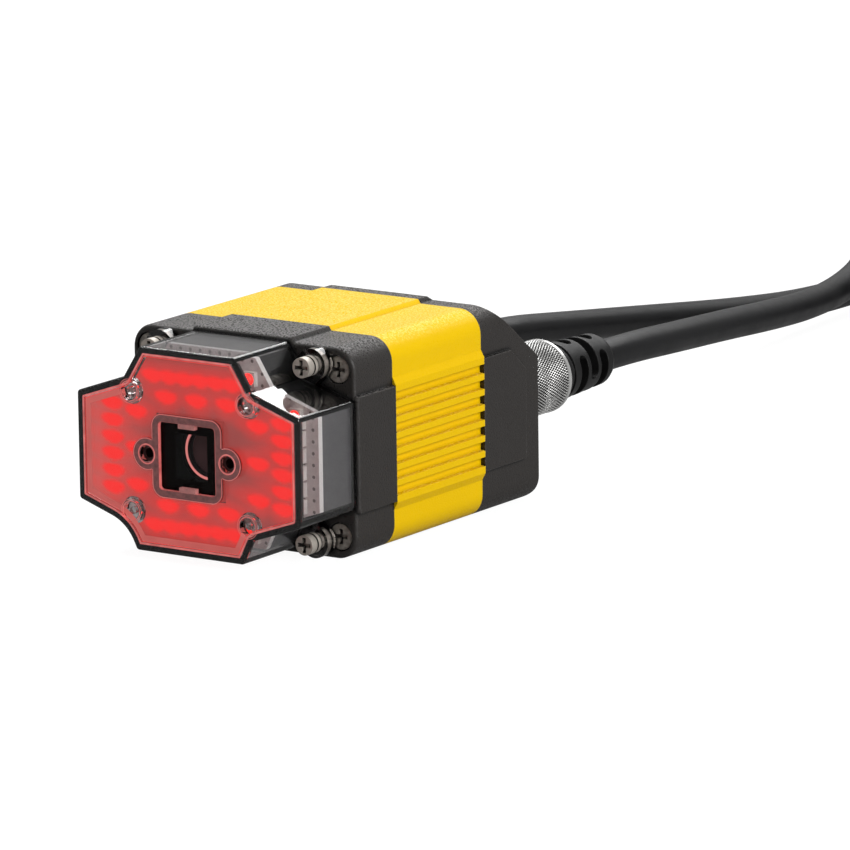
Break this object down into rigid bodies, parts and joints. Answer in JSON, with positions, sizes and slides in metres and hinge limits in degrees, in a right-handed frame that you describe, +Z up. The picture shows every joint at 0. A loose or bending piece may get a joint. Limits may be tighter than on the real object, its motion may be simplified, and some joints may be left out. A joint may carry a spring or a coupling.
{
  "type": "barcode reader",
  "caption": "Compact fixed-mount barcode reader with a clear cross-shaped light cover, ribbed yellow housing, sloped back and two screw-on cables.",
  "frame": {"origin": "on the flat bottom face, in the middle of the four mounting holes, under the middle of the yellow housing", "axes": "+X to the viewer's right seen from the light cover, +Y from the light cover to the cables, +Z up from the bottom face"},
  "size_m": [0.0769, 0.4226, 0.0424],
  "materials": {
    "yellow_coat": "satin powder coat",
    "black_coat": "textured black coat on a casting",
    "clear_plastic": "clear polycarbonate",
    "frosted_plastic": "frosted",
    "led_body": "white package with a red lens",
    "white_board": "white solder mask",
    "green_board": "green solder mask",
    "grey_plastic": "matte",
    "black_plastic": "matte",
    "chip_plastic": "moulded",
    "bright_steel": "turned",
    "dark_steel": "blackened and worn",
    "nickel": "nickel plated, knurled",
    "gold_contact": "gold plated",
    "lens_glass": "coated",
    "lens_metal": "black anodised",
    "ring_plastic": "smooth",
    "black_rubber": "satin",
    "cable_jacket": "satin extruded",
    "strap": "hook and loop",
    "clear_plug": "clear moulded",
    "wire_jacket": "extruded",
    "ribbon": "flat ribbon"
  },
  "bodies": {
    "reader": {"light_cover": "clear_plastic", "scan_window": "clear_plastic", "window_catches": "ring_plastic", "light_diffuser": "frosted_plastic", "leds": "led_body", "led_board": "white_board", "light_base": "grey_plastic", "aimers": "ring_plastic", "window_hood": "black_plastic", "cover_screws": "bright_steel", "cover_gasket": "black_rubber", "front_bezel": "black_coat", "bezel_screws": "dark_steel", "front_gasket": "black_rubber", "body_shell": "yellow_coat", "rear_gasket": "black_rubber", "rear_cover": "black_coat", "rear_screws": "dark_steel", "lens_holder": "black_plastic", "lens_barrel": "lens_metal", "lens_ring": "ring_plastic", "lens_glass": "lens_glass", "image_sensor": "chip_plastic", "sensor_board": "green_board", "board_spacers": "bright_steel", "stack_connector": "black_plastic", "processor_board": "green_board", "processor_chips": "chip_plastic", "board_screws": "bright_steel", "board_headers": "black_plastic", "ribbon_cable": "ribbon", "interface_board": "green_board", "socket_seals": "black_rubber", "socket_lock_nuts": "nickel", "plug_seals": "black_rubber", "hank_ties": "strap", "network_boot": "black_rubber", "network_plug": "clear_plug", "power_leads": "wire_jacket", "power_socket": "nickel", "power_insert": "black_plastic", "power_pins": "gold_contact", "power_plug_core": "black_plastic", "power_grip": "black_rubber", "power_cable": "cable_jacket", "power_cable_end": "cable_jacket", "power_hank": "cable_jacket", "network_socket": "nickel", "network_insert": "black_plastic", "network_pins": "gold_contact", "network_plug_core": "black_plastic", "network_grip": "black_rubber", "network_cable": "cable_jacket", "network_cable_end": "cable_jacket", "network_hank": "cable_jacket"},
    "power_nut": {"power_nut": "nickel"},
    "network_nut": {"network_nut": "nickel"}
  },
  "joints": [
    {"name": "power_nut_turn", "type": "hinge", "parent": "reader", "child": "power_nut", "pos_m": [0.0158, 0.04445, 0.0208], "axis": [0, 1, 0], "continuous": true},
    {"name": "network_nut_turn", "type": "hinge", "parent": "reader", "child": "network_nut", "pos_m": [-0.0158, 0.04445, 0.0208], "axis": [0, 1, 0], "continuous": true}
  ]
}
